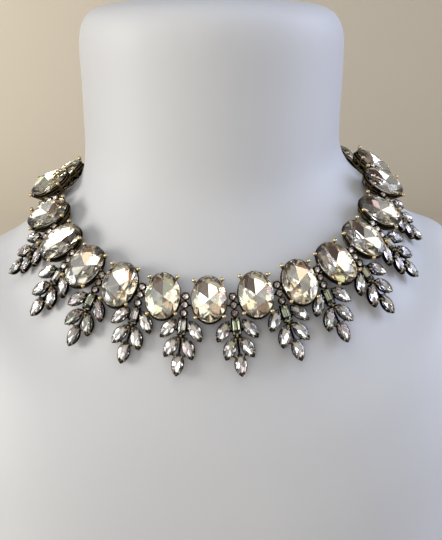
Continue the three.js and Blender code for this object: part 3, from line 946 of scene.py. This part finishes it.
def make_chain(name):
    route = tube_middle(name) / MM
    steps = np.linalg.norm(np.diff(route, axis=0), axis=1)
    along = np.concatenate([[0], np.cumsum(steps)])
    count = int((along[-1] - END_SLACK) / LINK_PITCH)

    def spot(s):
        return np.array([np.interp(s, along, route[:, c]) for c in range(3)])
    chain = Casting()
    for k in range(count):
        s = (k + 0.5) / count * along[-1]
        at = spot(s)
        x = spot(s + 0.5) - spot(s - 0.5)
        x /= np.linalg.norm(x)
        z = np.array([at[0], at[1], 0.0])
        z -= x * (z @ x)
        z /= np.linalg.norm(z)
        spin = Matrix.Rotation(math.radians(45), 4, "X")
        m = own_matrix(x, np.cross(z, x), z, at) @ spin
        chain.add(link_ring(1.6, 1.0, 0.32, k % 2 == 0), rub=0.42, move=m)
    print(name, "is", round(along[-1], 1), "mm long and has", count, "links")
    return chain


for name in ("chain_left", "chain_right"):
    add_piece(f"linked_{name}", make_chain(name).mesh(f"linked {name}", [antique_brass]),
              Matrix.Identity(4), [name])

# %% The clasp
def make_clasp():
    low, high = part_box("clasp")
    half = (high - low) / 2 / MM
    body = Casting()
    rings = []
    for k in range(9):
        a = math.pi * (k + 0.5) / 9
        grow = math.sin(a) ** 0.35
        rings.append(oval_line(half.x * 0.86 * grow, 2.5 * grow, -1.15 * math.cos(a), 32))
    body.add(loft(rings), rub=0.45)
    for side in (1, -1):
        eye = oval_line(0.85, 0.85, 0.0, 14) + [side * (half.x - 1.2), 0, 0]
        body.add(wire(eye, 0.32, 7, closed=True), rub=0.6)
    return body


def clasp_matrix():
    points = corner_points("clasp")
    middle = points.mean(0)
    _, _, axes = np.linalg.svd(points - middle)
    return own_matrix(axes[0], np.cross(axes[2], axes[0]), axes[2], middle)


add_piece("plain_clasp", make_clasp().mesh("plain clasp", [antique_brass]),
          clasp_matrix(), ["clasp"])

# %% [markdown]
# ## The bust
# The bust is a smooth moulding in matte white. The CAD solid has the right form but flat
# facets. Subdividing its triangles would show them as ripples, so a copy is remeshed into
# an even skin of small squares, and smoothing then irons the facets out. A light smoothing
# goes everywhere. A much stronger one rounds the shoulders over, and a vertex group keeps
# it off the skin under the necklace, which has to stay where the links touch it.

# %% Smooth a copy of the bust
def bake_modifiers(piece):
    bpy.context.view_layer.update()
    evaluated = piece.evaluated_get(bpy.context.evaluated_depsgraph_get())
    mesh = bpy.data.meshes.new_from_object(evaluated)
    piece.modifiers.clear()
    piece.data = mesh


def free_share(piece, near=0.022, far=0.05):
    """0 for the skin within near metres of a link, and 1 for what is over far from all."""
    count = len(piece.data.vertices)
    points = np.zeros(3 * count)
    piece.data.vertices.foreach_get("co", points)
    points = points.reshape(-1, 3)
    jewels = np.concatenate([[m.translation for m in link_at.values()],
                             corner_points("chain_left")[::12],
                             corner_points("chain_right")[::12]])
    gap = np.full(count, np.inf)
    for jewel in jewels:
        gap = np.minimum(gap, np.linalg.norm(points - jewel, axis=1))
    return np.clip((gap - near) / (far - near), 0, 1)


def iron(piece, title, rounds, group=""):
    modifier = piece.modifiers.new(title, "SMOOTH")
    modifier.factor = 0.5
    modifier.iterations = rounds
    modifier.vertex_group = group


def smooth_bust():
    bust = nodes["neck_bust"].copy()
    bust.data = nodes["neck_bust"].data.copy()
    bust.name = "white_bust"
    for key in list(bust.keys()):
        if key.startswith("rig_"):
            del bust[key]
    bust.parent = None
    bpy.context.scene.collection.objects.link(bust)
    remesh = bust.modifiers.new("even skin", "REMESH")
    remesh.mode = "VOXEL"
    remesh.voxel_size = 2 * MM
    iron(bust, "iron out", 24)
    bake_modifiers(bust)
    free = bust.vertex_groups.new(name="free")
    for index, share in enumerate(free_share(bust)):
        if share > 0:
            free.add([index], float(share), "REPLACE")
    iron(bust, "round the shoulders", 110, "free")
    bake_modifiers(bust)
    bust.vertex_groups.clear()
    mesh = bust.data
    mesh.polygons.foreach_set("use_smooth", [True] * len(mesh.polygons))
    mesh.materials.clear()
    mesh.materials.append(bust_white)
    return bust


white_bust = smooth_bust()
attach(white_bust, "root")
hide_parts("neck_bust")
print("bust", len(white_bust.data.polygons), "faces")

# %% [markdown]
# ## The studio
# A jeweller's picture is lit from one side with a broad soft light, so the white neck
# turns gently from warm to cool, and a weaker, bluer light fills the far side. The floor
# and the wall behind are one plain sweep, and the wall stands well back so that the bust
# can be seen from all round. Crystals show what stands in front of them, so the lights
# are separate panels with darker gaps between them, which gives the facets their
# contrast: a key at the left, one in front, one overhead, a fill at the right, and one
# that warms the wall.

# %% Floor and wall in one sweep
backdrop_paint = grained("plain backdrop", base=(0.51, 0.45, 0.355), mottle=(0.47, 0.415, 0.325),
                         amount=0.6, scale=3.0, gloss=(0.7, 0.8), strength=0.05, distance=0.0005)
UNDERFOOT = 0.0002              # the floor lies this little below the bust's base


def make_sweep(half_width=3.2, front=-3.2, wall=1.9, bend=0.4, top=2.4):
    curve = np.linspace(0.1, 1.5, 12)
    profile = [(front, 0.0), (wall - bend, 0.0)]
    profile += [(wall - bend + bend * math.sin(a), bend - bend * math.cos(a)) for a in curve]
    profile += [(wall, bend), (wall, top)]
    points = [(x, y, z - UNDERFOOT) for x in (-half_width, half_width) for y, z in profile]
    count = len(profile)
    faces = [[i, i + 1, count + i + 1, count + i][::-1] for i in range(count - 1)]
    mesh = bpy.data.meshes.new("sweep")
    mesh.from_pydata(points, [], faces)
    mesh.polygons.foreach_set("use_smooth", [True] * len(faces))
    mesh.materials.append(backdrop_paint)
    sweep = bpy.data.objects.new("studio_sweep", mesh)
    bpy.context.scene.collection.objects.link(sweep)
    return sweep


make_sweep()

# %% Lights and the room
def panel(name, at, toward, wide, tall, watts, colour):
    lamp = bpy.data.lights.new(name, "AREA")
    lamp.shape = "RECTANGLE"
    lamp.size, lamp.size_y = wide, tall
    lamp.energy = watts
    lamp.color = colour
    holder = bpy.data.objects.new(name, lamp)
    holder.location = at
    holder.rotation_euler = (Vector(toward) - Vector(at)).to_track_quat("-Z", "Y").to_euler()
    bpy.context.scene.collection.objects.link(holder)


HEART = (0, -0.02, 0.12)        # the middle of the necklace
panel("overhead window", (-0.15, -0.75, 1.45), HEART, 1.4, 1.0, 5.0, (1.0, 0.985, 0.95))
panel("key window", (-1.8, -0.6, 0.28), HEART, 0.75, 0.95, 28.0, (1.0, 0.975, 0.935))
panel("front window", (-0.45, -1.95, 0.5), HEART, 1.4, 0.8, 8.0, (1.0, 0.985, 0.975))
panel("far fill", (1.45, 0.0, 0.8), HEART, 0.9, 1.2, 20.0, (0.66, 0.74, 1.0))
panel("wall wash", (-1.1, 1.2, 0.55), (-0.4, 1.9, 0.15), 0.6, 0.6, 10.6, (1.0, 0.965, 0.87))
print(len(bpy.data.lights), "lamps")

# %% The light of the room
ROOM_LEVEL, BY_HEIGHT, BY_SIDE = 0.45, -0.14, -0.06
ROOM_COLOUR = (0.86, 0.885, 0.95, 1)


def room_light():
    """Soft light from all round, a little stronger from the left, where the window is, and
    from below, where pale surfaces throw it back."""
    world = bpy.data.worlds.new("room")
    world.use_nodes = True
    tree = world.node_tree
    where = tree.nodes.new("ShaderNodeTexCoord")
    parts = tree.nodes.new("ShaderNodeSeparateXYZ")
    tree.links.new(where.outputs["Generated"], parts.inputs[0])
    rise = math_node(tree, "MULTIPLY", parts.outputs["Z"], BY_HEIGHT)
    lean = math_node(tree, "MULTIPLY", parts.outputs["X"], BY_SIDE)
    level = math_node(tree, "ADD", math_node(tree, "ADD", rise, lean), ROOM_LEVEL)
    tree.nodes["Background"].inputs["Color"].default_value = ROOM_COLOUR
    tree.links.new(level, tree.nodes["Background"].inputs["Strength"])
    bpy.context.scene.world = world


room_light()

# %% [markdown]
# ## The camera
# A jeweller stands a little way off with a long lens, so that the stones at the sides
# aren't shrunk or stretched, and looks slightly down on the row. The lens is shifted a
# little to set the neck in the frame, and nothing is thrown out of focus.

# %% Camera
SENSOR = 24                     # mm, the height that the lens fills
THROW = 1720 / 540              # focal length in sensor heights
DOWN_TILT = 8                   # degrees below the level


def add_camera():
    lens = bpy.data.cameras.new("camera")
    lens.sensor_fit = "VERTICAL"
    lens.sensor_height = SENSOR
    lens.sensor_width = SENSOR
    lens.lens = SENSOR * THROW
    lens.clip_start, lens.clip_end = 0.02, 20
    lens.shift_x, lens.shift_y = 0.0102, 0.0556
    camera = bpy.data.objects.new("camera", lens)
    camera.location = (0, -0.6852, 0.1974)
    camera.rotation_euler = (math.radians(90 - DOWN_TILT), 0, 0)
    print("lens", round(lens.lens, 1), "mm, at", [round(v, 3) for v in camera.location])
    bpy.context.scene.collection.objects.link(camera)
    bpy.context.scene.camera = camera


add_camera()
bpy.context.scene.view_settings.view_transform = "Standard"
